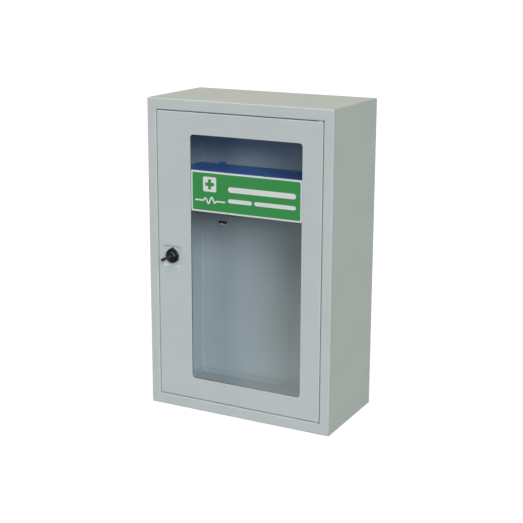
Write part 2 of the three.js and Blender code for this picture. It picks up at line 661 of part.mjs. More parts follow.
/** The steel spindle: round in the barrel, square under the cam, tapped for the cam screw. */
function lockSpindle() {
  const half = SPINDLE_SQUARE / 2;
  const shoulder = CAM_FRONT - FIT;
  const end = CAM_FRONT + CAM_THICKNESS - FIT;
  return cut(
    join(
      rodY(SPINDLE_RADIUS, -BEZEL_PROUD + HUB_RECESS, shoulder),
      block([-half, half], [0, end], [-half, half]),
    ),
    rodY(CAM_SCREW_RADIUS + FIT, end - CAM_SCREW_LENGTH, end + FIT),
  );
}

/** The cam, hanging from the spindle at rest. */
function lockCam() {
  const half = SPINDLE_SQUARE / 2 + FIT;
  const y = [CAM_FRONT, CAM_FRONT + CAM_THICKNESS];
  const side = CAM_WIDTH / 2;
  const outline = roundedRectangle(-side, side, -CAM_LENGTH, side, side - FIT);
  return cut(plate(outline, ...y), block([-half, half], [y[0] - FIT, y[1] + FIT], [-half, half]));
}

function camWasher() {
  const front = CAM_FRONT + CAM_THICKNESS + FIT;
  return cut(
    rodY(CAM_WASHER_RADIUS, front, front + CAM_WASHER_HEIGHT),
    rodY(CAM_SCREW_RADIUS + FIT, front - FIT, front + CAM_WASHER_HEIGHT + FIT),
  );
}

function camScrew() {
  const headFront = CAM_FRONT + CAM_THICKNESS + 2 * FIT + CAM_WASHER_HEIGHT;
  return join(
    rodY(CAM_SCREW_HEAD_RADIUS, headFront, headFront + CAM_SCREW_HEAD_HEIGHT),
    rodY(CAM_SCREW_RADIUS, headFront - CAM_SCREW_LENGTH, headFront + FIT),
  );
}

function lock() {
  const group = new THREE.Group();
  group.position.set(LOCK_X, FRONT, LOCK_Z);
  const nutFront = DISH_DEPTH + SHEET + FIT;
  piece(group, 'lock_body', BLACK_PLASTIC, lockBody());
  piece(group, 'lock_nut', ZINC,
    hexNut(LOCK_NUT_WIDTH, BARREL_RADIUS + FIT, nutFront, nutFront + LOCK_NUT_HEIGHT, ROUND));
  piece(group, 'lock_lever', BLACK_PLASTIC, lockLever());
  piece(group, 'lock_spindle', ZINC, lockSpindle());
  piece(group, 'lock_cam', ZINC, lockCam());
  piece(group, 'cam_washer', ZINC, camWasher());
  piece(group, 'cam_screw', ZINC, camScrew());
  return group;
}

// ---------------------------------------------------------------- the whole cabinet

const cabinet = new THREE.Group();
cabinet.add(carcass(), door());

export default cabinet;
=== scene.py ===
import json
import math

import bmesh
import bpy
from mathutils import Matrix, Quaternion, Vector

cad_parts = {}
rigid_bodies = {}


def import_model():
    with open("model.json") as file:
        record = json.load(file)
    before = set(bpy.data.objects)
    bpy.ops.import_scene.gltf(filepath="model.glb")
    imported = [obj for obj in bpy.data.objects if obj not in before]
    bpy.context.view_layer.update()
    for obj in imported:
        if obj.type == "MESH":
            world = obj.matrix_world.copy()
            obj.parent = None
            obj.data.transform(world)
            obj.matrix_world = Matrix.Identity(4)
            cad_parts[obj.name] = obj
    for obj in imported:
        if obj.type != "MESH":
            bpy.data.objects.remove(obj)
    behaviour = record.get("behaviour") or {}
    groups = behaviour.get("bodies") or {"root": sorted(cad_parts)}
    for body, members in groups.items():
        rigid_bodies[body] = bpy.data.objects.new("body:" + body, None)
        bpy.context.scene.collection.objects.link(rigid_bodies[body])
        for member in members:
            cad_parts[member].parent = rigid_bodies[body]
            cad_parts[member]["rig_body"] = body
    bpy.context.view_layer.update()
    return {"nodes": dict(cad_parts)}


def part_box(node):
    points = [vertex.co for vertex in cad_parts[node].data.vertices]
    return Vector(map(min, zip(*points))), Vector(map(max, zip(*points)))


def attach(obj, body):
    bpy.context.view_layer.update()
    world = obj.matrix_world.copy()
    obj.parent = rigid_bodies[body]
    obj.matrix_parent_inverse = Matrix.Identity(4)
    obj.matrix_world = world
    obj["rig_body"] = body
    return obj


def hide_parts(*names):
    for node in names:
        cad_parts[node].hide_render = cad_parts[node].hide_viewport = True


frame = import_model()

MM = 0.001

# ---- sizes

SHEET = 1.5 * MM
FIT = 0.3 * MM  # clearance between pieces that touch
BEND = 2.3 * MM  # outer radius of a fold in the sheet
BEND_STEPS = 5  # faces round a fold
ROUND = 64  # faces round a turned piece
ROUND_SMALL = 24  # faces round a stud, nut or screw
CORNER_STEPS = 8  # faces round one corner of a rounded rectangle

tray_low, tray_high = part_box("top_tray")
base_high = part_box("bottom_tray")[1]
side_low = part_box("right_side")[0]
door_low, door_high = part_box("door_panel")
back_low, back_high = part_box("back_panel")
shelf_low, shelf_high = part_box("shelf")
pane_low, pane_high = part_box("glazing_pane")
field_low, field_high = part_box("sign_field")
spindle_low, spindle_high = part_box("lock_spindle")

HALF_WIDTH = tray_high.x
FRONT = tray_low.y
BACK = tray_high.y
HEIGHT = tray_high.z
STOP_LIP = 10 * MM
REVEAL = 20 * MM  # depth of the opening in front of the stop lip
FLANGE = 12 * MM  # weld flanges inside the rear and side edges
REAR_CUT = 20 * MM  # how far forward the notches in the rear flanges reach
BAND = base_high.z - STOP_LIP  # height of the frame above and below the door
STILE = HALF_WIDTH - side_low.x - STOP_LIP  # width of the frame beside the door
SEAM = BAND - BEND  # the stiles meet the bands here, where the band's inner fold starts
OPENING_X = HALF_WIDTH - STILE
LUG_DEPTH = 3.5 * MM  # how far the back panel's lugs stand in
FLANGE_BACK = back_low.y + LUG_DEPTH - FIT  # back face of the rear weld flanges

PANE_OVERLAP = 12 * MM
WINDOW_CORNER = 8 * MM
WINDOW = (pane_low.x + PANE_OVERLAP, pane_high.x - PANE_OVERLAP,
          pane_low.z + PANE_OVERLAP, pane_high.z - PANE_OVERLAP)  # left, right, bottom, top

LOCK_X = (spindle_low.x + spindle_high.x) / 2
LOCK_Z = (spindle_low.z + spindle_high.z) / 2
PIVOT_X = door_high.x - 7 * MM
PIVOT_Y = door_low.y + 5.5 * MM
PIN_HOLE = 2.3 * MM
BUSH_HOLE = 3.3 * MM


# ---- outlines

def arc(centre, radius, start, end, steps):
    """Points on an arc between two angles in degrees."""
    angles = [math.radians(start + (end - start) * step / steps) for step in range(steps + 1)]
    return [(centre[0] + radius * math.cos(a), centre[1] + radius * math.sin(a)) for a in angles]


def rounded_rectangle(left, right, bottom, top, radius, steps=CORNER_STEPS):
    corners = [(right - radius, bottom + radius, -90), (right - radius, top - radius, 0),
               (left + radius, top - radius, 90), (left + radius, bottom + radius, 180)]
    points = []
    for across, up, start in corners:
        points += arc((across, up), radius, start, start + 90, steps)
    return points


def rounded_square(half, radius):
    return rounded_rectangle(-half, half, -half, half, radius)


def left_of(direction):
    return Vector((-direction.y, direction.x))


def bent_path(corners, radii, steps=BEND_STEPS):
    """(point, left-hand normal) pairs along a polyline whose corners are rounded to the radii."""
    points = [Vector(corner) for corner in corners]
    headings = [(b - a).normalized() for a, b in zip(points, points[1:])]
    pairs = [(points[0], left_of(headings[0]))]
    for corner, before, after, radius in zip(points[1:], headings, headings[1:], radii):
        if radius == 0:
            pairs.append((corner, left_of(before)))
            continue
        turn = math.atan2(before.cross(after), before.dot(after))
        side = math.copysign(1, turn)
        start = corner - before * radius * math.tan(abs(turn) / 2)
        centre = start + left_of(before) * radius * side
        for step in range(steps + 1):
            normal = Matrix.Rotation(turn * step / steps, 2) @ left_of(before)
            pairs.append((centre - normal * radius * side, normal))
    pairs.append((points[-1], left_of(headings[-1])))
    return pairs


def filleted(corners, radii, steps=BEND_STEPS):
    return [tuple(point) for point, _ in bent_path(corners, radii, steps)]


def strip_sides(corners, thickness, radius):
    """The left and right sides of a strip of even thickness along a bent centre line."""
    pairs = bent_path(corners, [radius] * (len(corners) - 2))
    left = [tuple(point + normal * thickness / 2) for point, normal in pairs]
    right = [tuple(point - normal * thickness / 2) for point, normal in pairs]
    return left, right


def strip_outline(corners, thickness, radius):
    left, right = strip_sides(corners, thickness, radius)
    return left + right[::-1]


# ---- meshes

def along_x(y, z, x):
    return Vector((x, y, z))


def along_y(x, z, y):
    return Vector((x, y, z))


def along_z(x, y, z):
    return Vector((x, y, z))


def around(x, z, y=0.0):
    """Places (across, up, back) around an axis that runs back from a point."""
    def place(u, v, w):
        return Vector((x + u, y + w, z + v))
    return place


def full_turn(segments):
    return [2 * math.pi * i / segments for i in range(segments)]


def circle(place, radius, w, angles):
    """Points round a circle, or round a closed curve if the radius is one for each angle."""
    radii = radius if isinstance(radius, list) else [radius] * len(angles)
    return [place(r * math.cos(a), r * math.sin(a), w) for r, a in zip(radii, angles)]


def loft(mesh, loops, ring=False):
    """Adds a band of faces from each loop of points to the next, and returns the vertex loops."""
    rows = [[mesh.verts.new(point) for point in loop] for loop in loops]
    pairs = list(zip(rows, rows[1:]))
    if ring:
        pairs.append((rows[-1], rows[0]))
    for near, far in pairs:
        for i in range(len(near)):
            j = (i + 1) % len(near)
            mesh.faces.new((near[i], near[j], far[j], far[i]))
    return rows


def fill(mesh, rows):
    """Fills the flat region inside the first vertex loop and outside the others."""
    if len(rows) == 1:
        mesh.faces.new(rows[0])
        return
    edges = []
    for row in rows:
        for i in range(len(row)):
            ends = (row[i], row[(i + 1) % len(row)])
            edges.append(mesh.edges.get(ends) or mesh.edges.new(ends))
    bmesh.ops.triangle_fill(mesh, use_beauty=True, use_dissolve=False, edges=edges)


def made(mesh, name="part"):
    """Turns a finished bmesh into a smooth-shaded object."""
    bmesh.ops.recalc_face_normals(mesh, faces=mesh.faces)
    data = bpy.data.meshes.new(name)
    mesh.to_mesh(data)
    mesh.free()
    data.shade_smooth()
    obj = bpy.data.objects.new(name, data)
    bpy.context.scene.collection.objects.link(obj)
    return obj


def prism(contours, start, end, place):
    """A straight solid: an outline, less any holes, carried from start to end."""
    mesh = bmesh.new()
    near = []
    far = []
    for contour in contours:
        rows = loft(mesh, [[place(u, v, w) for u, v in contour] for w in (start, end)])
        near.append(rows[0])
        far.append(rows[1])
    fill(mesh, near)
    fill(mesh, far)
    return made(mesh)


def turned(profile, place, segments=ROUND, ring=False):
    """A solid of revolution from (radius, distance along the axis) pairs."""
    mesh = bmesh.new()
    inner = profile if ring else profile[1:-1]
    rows = loft(mesh, [circle(place, r, w, full_turn(segments)) for r, w in inner], ring)
    if not ring:
        for row, (_, w) in ((rows[0], profile[0]), (rows[-1], profile[-1])):
            pole = mesh.verts.new(place(0, 0, w))
            for i in range(segments):
                mesh.faces.new((row[i], row[(i + 1) % segments], pole))
    return made(mesh)


def block(low, high):
    """A plain block, used only to cut or to thicken another piece."""
    mesh = bmesh.new()
    middle = (Vector(low) + Vector(high)) / 2
    size = [abs(b - a) for a, b in zip(low, high)]
    bmesh.ops.create_cube(mesh, size=1, matrix=Matrix.LocRotScale(middle, None, size))
    return made(mesh)


def block_at(place, low, high):
    return block(place(*low), place(*high))


def combined(base, add=(), cut=()):
    """Joins solids to the base, cuts others from it, and keeps only the result."""
    for operation, tools in (("UNION", add), ("DIFFERENCE", cut)):
        for tool in tools:
            modifier = base.modifiers.new("boolean", "BOOLEAN")
            modifier.operation = operation
            modifier.solver = "EXACT"
            modifier.object = tool
    bpy.context.view_layer.update()
    result = base.evaluated_get(bpy.context.evaluated_depsgraph_get())
    data = bpy.data.meshes.new_from_object(result)
    base.modifiers.clear()
    base.data = data
    data.shade_smooth()
    for tool in (*add, *cut):
        bpy.data.objects.remove(tool)
    return base


def joined(base, *others):
    """One mesh that holds several closed shells."""
    mesh = bmesh.new()
    for obj in (base, *others):
        mesh.from_mesh(obj.data)
    mesh.to_mesh(base.data)
    mesh.free()
    for obj in others:
        bpy.data.objects.remove(obj)
    return base


def softened(obj, width, segments=2, angle=40, clamp=True):
    """Rounds every edge sharper than an angle, and evens out the shading of the flats."""
    bevel = obj.modifiers.new("edges", "BEVEL")
    bevel.width = width
    bevel.segments = segments
    bevel.limit_method = "ANGLE"
    bevel.angle_limit = math.radians(angle)
    bevel.miter_outer = "MITER_ARC"
    bevel.use_clamp_overlap = clamp
    return evened(obj)


def evened(obj):
    normals = obj.modifiers.new("shading", "WEIGHTED_NORMAL")
    normals.keep_sharp = True
    return obj


def stands_for(obj, node, material, slot):
    """Names the piece, gives it its material, and puts it on its CAD node's body in its place."""
    obj.name = f"{node}_detail"
    obj.data.name = obj.name
    obj.data.materials.clear()
    obj.data.materials.append(material)
    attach(obj, frame["nodes"][node]["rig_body"])
    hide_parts(node)
    return obj


# ---- material building

def shader(name):
    """A new material's node tree, with its object coordinates and its output."""
    material = bpy.data.materials.new(name)
    material.use_nodes = True
    tree = material.node_tree
    tree.nodes.clear()
    coordinates = tree.nodes.new("ShaderNodeTexCoord").outputs["Object"]
    output = tree.nodes.new("ShaderNodeOutputMaterial").inputs["Surface"]
    return material, tree, coordinates, output


def put(tree, kind, inputs, **settings):
    """Adds a node. Each input is a constant or another node's output."""
    node = tree.nodes.new(kind)
    for key, value in settings.items():
        setattr(node, key, value)
    for key, value in inputs.items():
        if isinstance(value, bpy.types.NodeSocket):
            tree.links.new(value, node.inputs[key])
        else:
            node.inputs[key].default_value = value
    return node


def noise(tree, coordinates, size, detail=3.0, roughness=0.5, stretch=None):
    """Noise with features of about a size, in metres, optionally stretched along the axes."""
    if stretch:
        mapping = put(tree, "ShaderNodeMapping", {"Vector": coordinates, "Scale": stretch})
        coordinates = mapping.outputs["Vector"]
    node = put(tree, "ShaderNodeTexNoise", {
        "Vector": coordinates, "Scale": 1 / size, "Detail": detail, "Roughness": roughness})
    return node.outputs["Fac"]


def spread(tree, value, low, high, to_low, to_high):
    """Maps a value from one range to another, and holds it inside."""
    node = put(tree, "ShaderNodeMapRange", {
        "Value": value, "From Min": low, "From Max": high, "To Min": to_low, "To Max": to_high},
        clamp=True)
    return node.outputs["Result"]


def math_node(tree, operation, first, second):
    node = put(tree, "ShaderNodeMath", {0: first, 1: second}, operation=operation)
    return node.outputs["Value"]


def blend(tree, share, first, second):
    """Mixes two colours."""
    node = put(tree, "ShaderNodeMix", {}, data_type="RGBA")
    for index, value in ((0, share), (6, first), (7, second)):
        if isinstance(value, bpy.types.NodeSocket):
            tree.links.new(value, node.inputs[index])
        else:
            node.inputs[index].default_value = value
    return node.outputs[2]


def bump(tree, height, distance, strength=1.0, normal=None):
    inputs = {"Height": height, "Distance": distance, "Strength": strength}
    if normal:
        inputs["Normal"] = normal
    return put(tree, "ShaderNodeBump", inputs).outputs["Normal"]


def surfaced(material, tree, output, tone, rough, normal, constants):
    """Ends a material with its surface shader, whose other sockets hold constants."""
    inputs = {"Base Color": tone, "Roughness": rough, "Normal": normal, **constants}
    surface = put(tree, "ShaderNodeBsdfPrincipled", inputs)
    tree.links.new(surface.outputs[0], output)
    return material


def shade(colour, factor):
    """A colour made lighter or darker."""
    return tuple(min(1.0, channel * factor) for channel in colour[:3]) + (1.0,)


def edge_mask(tree, coordinates, box, width):
    """1 along the twelve edges of a box, falling to 0 at a width from them."""
    low, high = box
    above = put(tree, "ShaderNodeVectorMath", {0: coordinates, 1: tuple(low)}, operation="SUBTRACT")
    below = put(tree, "ShaderNodeVectorMath", {0: tuple(high), 1: coordinates}, operation="SUBTRACT")
    nearest = put(tree, "ShaderNodeVectorMath", {0: above.outputs[0], 1: below.outputs[0]},
                  operation="MINIMUM")
    parts = put(tree, "ShaderNodeSeparateXYZ", {0: nearest.outputs[0]}).outputs
    smaller = math_node(tree, "MINIMUM", parts[0], parts[1])
    larger = math_node(tree, "MAXIMUM", parts[0], parts[1])
    second = math_node(tree, "MAXIMUM", smaller, math_node(tree, "MINIMUM", larger, parts[2]))
    return spread(tree, second, 0.0, width, 1.0, 0.0)


# ---- materials

def painted_steel(name, colour, box):
    """Powder coat: fine orange peel, a faint cloudiness, and edges rubbed a little paler."""
    material, tree, coordinates, output = shader(name)
    cloud = noise(tree, coordinates, 0.11, 4.0, 0.6)
    speck = noise(tree, coordinates, 0.0011, 2.0, 0.6)
    tone = blend(tree, spread(tree, cloud, 0.3, 0.7, 0.0, 1.0), shade(colour, 0.96), shade(colour, 1.03))
    tone = blend(tree, spread(tree, speck, 0.35, 0.7, 0.0, 0.5), tone, shade(colour, 1.07))
    edges = edge_mask(tree, coordinates, box, 2.2 * MM)
    patches = spread(tree, noise(tree, coordinates, 0.014, 5.0, 0.7), 0.48, 0.66, 0.0, 1.0)
    rubbed = math_node(tree, "MULTIPLY", edges, patches)
    tone = blend(tree, math_node(tree, "MULTIPLY", rubbed, 0.3), tone, shade(colour, 1.2))
    smear = noise(tree, coordinates, 0.045, 6.0, 0.65)
    rough = spread(tree, smear, 0.3, 0.7, 0.38, 0.5)
    rough = math_node(tree, "SUBTRACT", rough, math_node(tree, "MULTIPLY", rubbed, 0.12))
    peel = bump(tree, noise(tree, coordinates, 0.0021, 2.0, 0.45), 0.05 * MM, 0.6)
    grain = bump(tree, noise(tree, coordinates, 0.00045, 1.0, 0.5), 0.012 * MM, 0.6, peel)
    return surfaced(material, tree, output, tone, rough, grain, {"Specular IOR Level": 0.45})


def plated_steel(name):
    """Bright zinc plate: a faint bluish cast in patches, over fine drawing lines."""
    material, tree, coordinates, output = shader(name)
    patches = noise(tree, coordinates, 0.006, 4.0, 0.6)
    lines = noise(tree, coordinates, 0.0009, 3.0, 0.6, stretch=(1.0, 1.0, 0.12))
    tone = blend(tree, spread(tree, patches, 0.35, 0.65, 0.0, 1.0),
                 (0.52, 0.54, 0.56, 1.0), (0.66, 0.66, 0.63, 1.0))
    rough = spread(tree, lines, 0.3, 0.7, 0.24, 0.42)
    normal = bump(tree, lines, 0.01 * MM, 0.7)
    return surfaced(material, tree, output, tone, rough, normal, {"Metallic": 1.0})


def black_plastic(name):
    """Glass-filled black plastic with a spark-eroded grain, worn smoother in patches."""
    material, tree, coordinates, output = shader(name)
    grain = noise(tree, coordinates, 0.0006, 3.0, 0.65)
    worn = spread(tree, noise(tree, coordinates, 0.007, 4.0, 0.6), 0.4, 0.65, 0.0, 1.0)
    tone = blend(tree, worn, (0.0075, 0.0078, 0.0085, 1.0), (0.016, 0.016, 0.017, 1.0))
    rough = math_node(tree, "ADD", spread(tree, grain, 0.3, 0.7, 0.24, 0.36),
                      math_node(tree, "MULTIPLY", worn, 0.1))
    normal = bump(tree, grain, 0.03 * MM, 0.6)
    return surfaced(material, tree, output, tone, rough, normal, {"Specular IOR Level": 0.5})


def natural_nylon(name):
    material, tree, coordinates, output = shader(name)
    mottle = noise(tree, coordinates, 0.003, 3.0, 0.6)
    tone = blend(tree, mottle, (0.68, 0.64, 0.54, 1.0), (0.82, 0.79, 0.70, 1.0))
    rough = spread(tree, mottle, 0.3, 0.7, 0.38, 0.55)
    normal = bump(tree, noise(tree, coordinates, 0.0007), 0.02 * MM, 0.5)
    return surfaced(material, tree, output, tone, rough, normal, {
        "Subsurface Weight": 0.12, "Subsurface Scale": 1.0 * MM})


def black_rubber(name, pore, depth):
    """Rubber or closed-cell foam, with pores of a size and depth and a dusty bloom."""
    material, tree, coordinates, output = shader(name)
    cells = put(tree, "ShaderNodeTexVoronoi", {"Vector": coordinates, "Scale": 1 / pore})
    bloom = noise(tree, coordinates, 0.012, 4.0, 0.65)
    tone = blend(tree, spread(tree, bloom, 0.4, 0.7, 0.0, 1.0),
                 (0.012, 0.012, 0.013, 1.0), (0.032, 0.032, 0.033, 1.0))
    rough = spread(tree, bloom, 0.3, 0.7, 0.7, 0.88)
    normal = bump(tree, cells.outputs["Distance"], depth, 0.8)
    return surfaced(material, tree, output, tone, rough, normal, {"Specular IOR Level": 0.3})


def clear_pane(name):
    """Clear sheet: lets light straight through with a cool tint, and reflects as glass does."""
    material, tree, coordinates, output = shader(name)
    smudge = noise(tree, coordinates, 0.06, 5.0, 0.7)
    through = put(tree, "ShaderNodeBsdfTransparent", {"Color": PANE_TINT})
    gloss = put(tree, "ShaderNodeBsdfGlossy", {
        "Color": (1.0, 1.0, 1.0, 1.0), "Roughness": spread(tree, smudge, 0.4, 0.75, 0.03, 0.11)})
    mirrored = put(tree, "ShaderNodeFresnel", {"IOR": 1.49}).outputs[0]
    leaving = put(tree, "ShaderNodeNewGeometry", {}).outputs["Backfacing"]
    share = math_node(tree, "MULTIPLY", mirrored, math_node(tree, "SUBTRACT", 1.0, leaving))
    surface = put(tree, "ShaderNodeMixShader", {0: share, 1: through.outputs[0], 2: gloss.outputs[0]})
    tree.links.new(surface.outputs[0], output)
    return material


def printed_vinyl(name, colour):
    """Satin self-adhesive film: even ink, with a faint print grain and slight waves."""
    material, tree, coordinates, output = shader(name)
    ink = noise(tree, coordinates, 0.0008, 3.0, 0.6)
    broad = noise(tree, coordinates, 0.04, 3.0, 0.5)
    tone = blend(tree, spread(tree, ink, 0.3, 0.7, 0.0, 1.0), shade(colour, 0.96), shade(colour, 1.04))
    tone = blend(tree, spread(tree, broad, 0.3, 0.7, 0.0, 0.5), tone, shade(colour, 0.94))
    rough = spread(tree, broad, 0.3, 0.7, 0.3, 0.4)
    waves = bump(tree, noise(tree, coordinates, 0.018, 2.0), 0.05 * MM, 0.4)
    normal = bump(tree, ink, 0.006 * MM, 0.5, waves)
    return surfaced(material, tree, output, tone, rough, normal, {"Specular IOR Level": 0.5})


GREY = (0.625, 0.668, 0.665, 1.0)
BLUE = (0.062, 0.320, 0.920, 1.0)
GREEN = (0.050, 0.330, 0.085, 1.0)
WHITE = (0.86, 0.88, 0.86, 1.0)
PANE_TINT = (0.980, 0.995, 1.0, 1.0)

ZINC = plated_steel("zinc_plate")
PLASTIC = black_plastic("black_plastic")
NYLON = natural_nylon("natural_nylon")
FOAM = black_rubber("black_foam", 0.5 * MM, 0.08 * MM)
RUBBER = black_rubber("black_rubber", 0.25 * MM, 0.02 * MM)
PANE = clear_pane("clear_pane")
SIGN_WHITE = printed_vinyl("sign_white", WHITE)
SIGN_GREEN = printed_vinyl("sign_green", GREEN)


def in_grey(obj, node):
    paint = painted_steel(f"grey_paint_{node}", GREY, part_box(node))
    return stands_for(obj, node, paint, "grey_paint")


def in_zinc(obj, node):
    return stands_for(obj, node, ZINC, "zinc_steel")


def in_plastic(obj, node):
    return stands_for(obj, node, PLASTIC, "black_plastic")


# ---- carcass

def frame_profile(face, flange):
    """The section shared by trays and sides, as (y, depth in from the outer face) points:
    stop lip, reveal, front face, wall, and a weld flange standing in from the wall's rear."""
    lip_y = FRONT + REVEAL + SHEET / 2
    face_y = FRONT + SHEET / 2
    reveal = face - SHEET / 2
    corners = [(lip_y, face + STOP_LIP), (lip_y, reveal), (face_y, reveal), (face_y, SHEET / 2),
               (BACK, SHEET / 2)]
    inner, outer = strip_sides(corners, SHEET, BEND - SHEET / 2)
    weld = [(FLANGE_BACK - SHEET, SHEET), (FLANGE_BACK - SHEET, flange), (FLANGE_BACK, flange),
            (FLANGE_BACK, SHEET)]
    return inner[:-1] + weld + inner[-1:] + outer[::-1]


def corner_waste(hand):
    """The plan of what is cut away outside the round of a vertical front edge."""
    middle = hand * (HALF_WIDTH - BEND)
    outside = hand * (HALF_WIDTH + MM)
    round_edge = arc((middle, FRONT + BEND), BEND, 270 + hand * 90, 270, BEND_STEPS)
    return [(outside, FRONT + BEND), *round_edge, (middle, FRONT - MM), (outside, FRONT - MM)]


def tray(node, outer_z, inward):
    """The top or bottom of the carcass, with its front band and weld flanges."""
    def place(y, depth, x):
        return Vector((x, y, outer_z + inward * depth))

    flange_x = HALF_WIDTH - SHEET - FIT
    seam_x = OPENING_X - 0.1 * MM
    body = prism([frame_profile(BAND, FLANGE)], -HALF_WIDTH, HALF_WIDTH, place)
    flanges = []
    ends = []
    for hand in (-1, 1):
        seam = hand * seam_x
        wall = hand * (flange_x + SHEET / 4)
        outside = hand * (HALF_WIDTH + MM)
        flanges.append(block_at(place, (FRONT + SHEET, SHEET / 2, hand * flange_x),
                                (FLANGE_BACK, FLANGE, hand * (flange_x - SHEET))))
        for low, high in (
                ((FRONT - MM, SEAM, seam), (FRONT + SHEET, 2 * BAND, outside)),
                ((FRONT + SHEET, BEND, seam), (FRONT + 2 * REVEAL, 2 * BAND, outside)),
                ((BACK - REAR_CUT, SHEET, wall), (FLANGE_BACK + SHEET / 4, 2 * BAND, outside))):
            ends.append(block_at(place, low, high))
        ends.append(prism([corner_waste(hand)], outer_z - HEIGHT, outer_z + HEIGHT, along_z))
    hole = turned([(0, BAND / 2), (PIN_HOLE, BAND / 2), (PIN_HOLE, 2 * BAND), (0, 2 * BAND)],
                  pivot_place(outer_z, inward), ROUND_SMALL)
    body = combined(body, cut=[*ends, hole])
    body = combined(body, add=flanges)
    return in_grey(softened(body, 0.25 * MM, clamp=False), node)


def side(node, hand):
    """The left (-1) or right (+1) side of the carcass, with its stile and stop lip."""
    def place(y, depth, z):
        return Vector((hand * (HALF_WIDTH - depth), y, z))

    body = prism([frame_profile(STILE, SHEET + FLANGE)], SHEET, HEIGHT - SHEET, place)
    far = 2 * STILE
    lip = BAND + STOP_LIP + FIT
    flange = FLANGE + FIT
    cuts = []
    for end, inward in ((0.0, 1), (HEIGHT, -1)):
        for low, high, length in (
                ((FRONT - MM, -MM), (FRONT + SHEET, far), SEAM),
                ((FRONT, SHEET), (FRONT + 2 * REVEAL, far), SEAM),
                ((FRONT, STILE), (FRONT + 2 * REVEAL, far), lip),
                ((BACK - REAR_CUT, SHEET), (BACK + MM, far), flange)):
            cuts.append(block_at(place, (*low, end), (*high, end + inward * length)))
    body = combined(body, cut=cuts)
    return in_grey(softened(body, 0.25 * MM, clamp=False), node)


SLOT_X = 164 * MM
SLOT_WIDTH = 20 * MM
SLOT_HEIGHT = 6 * MM
SHELF_TOP = shelf_high.z - (SLOT_HEIGHT - 2 * FIT - SHEET)  # the hooks fill the slots' height
SLOT_BOTTOM = SHELF_TOP - SHEET - FIT
SHELF_PITCH = 146 * MM
LUG_HEIGHT = 9 * MM
KEYHOLE = (150 * MM, 640 * MM)  # x and z of the round entry
KEYHOLE_RADIUS = 6 * MM
KEYHOLE_SLOT = 3 * MM
KEYHOLE_RISE = 12 * MM
BACK_INNER = BACK - SHEET


def lug(x, top, shrink):
    """A pressed lug under a slot, full at the slot and fading downwards and to both sides.
    With a shrink above 0 it is the hollow behind the lug, carried out through the back."""
    hollow = shrink > 0
    half = SLOT_WIDTH / 2 - shrink
    skin_y = BACK_INNER + (SHEET / 3 if hollow else 0.0)
    rear_y = BACK_INNER + SHEET * 0.6 + (2 * SHEET if hollow else 0.0)
    columns = 16
    rows = 8
    mesh = bmesh.new()
    loops = []
    for column in range(columns + 1):
        across = x - half + 2 * half * column / columns
        side_fade = math.sin(math.pi * column / columns) ** 0.45
        loop = []
        for row in range(rows + 1):
            down = row / rows
            height = (LUG_DEPTH - shrink) * side_fade * (1 - down * down)
            loop.append((across, skin_y - height, top - LUG_HEIGHT * down))
        loops.append(loop + [(across, rear_y, top - LUG_HEIGHT), (across, rear_y, top)])
    grid = loft(mesh, loops)
    mesh.faces.new(grid[0])
    mesh.faces.new(grid[-1])
    bmesh.ops.remove_doubles(mesh, verts=mesh.verts, dist=1e-7)
    return made(mesh)


def keyhole_outline(x, z):
    """A round entry with a narrower slot rising from it."""
    shoulder = math.degrees(math.asin(KEYHOLE_SLOT / KEYHOLE_RADIUS))
    entry = arc((x, z), KEYHOLE_RADIUS, 90 + shoulder, 450 - shoulder, ROUND_SMALL)
    return entry + arc((x, z + KEYHOLE_RISE), KEYHOLE_SLOT, 0, 180, ROUND_SMALL // 2)


def back_panel():
    body = prism([rounded_rectangle(back_low.x, back_high.x, back_low.z, back_high.z, MM, 3)],
                 BACK_INNER, BACK, along_y)
    cuts = []
    lugs = []
    for x in (-SLOT_X, SLOT_X):
        for bottom in (SLOT_BOTTOM, SLOT_BOTTOM - SHELF_PITCH):
            half = SLOT_WIDTH / 2
            slot = rounded_rectangle(x - half, x + half, bottom, bottom + SLOT_HEIGHT, MM, 4)
            cuts.append(prism([slot], BACK_INNER - 2 * LUG_DEPTH, BACK + MM, along_y))
            cuts.append(lug(x, bottom + 0.1 * MM, SHEET * 0.7))
            lugs.append(lug(x, bottom, 0.0))
        hole = keyhole_outline(math.copysign(KEYHOLE[0], x), KEYHOLE[1])
        cuts.append(prism([hole], BACK_INNER - MM, BACK + MM, along_y))
    body = combined(body, add=lugs)
    body = combined(body, cut=cuts)
    return in_grey(softened(body, 0.2 * MM), "back_panel")


def slot_plug(node):
    """A moulded black plug that fills a spare slot, with a thin rim against the panel. Its black is painted
    shade, standing in for the shade seen through an open slot.
    """
    low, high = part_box(node)
    inset = 1.1 * MM
    rim_outline = rounded_rectangle(low.x, high.x, low.z, high.z, 1.4 * MM, 5)
    outline = rounded_rectangle(low.x + inset, high.x - inset, low.z, high.z - inset, 0.9 * MM, 5)
    rim = prism([rim_outline], low.y, BACK_INNER - FIT, along_y)
    plug = combined(rim, add=[prism([outline], low.y + SHEET / 4, high.y, along_y)])
    return in_plastic(softened(plug, 0.2 * MM), node)


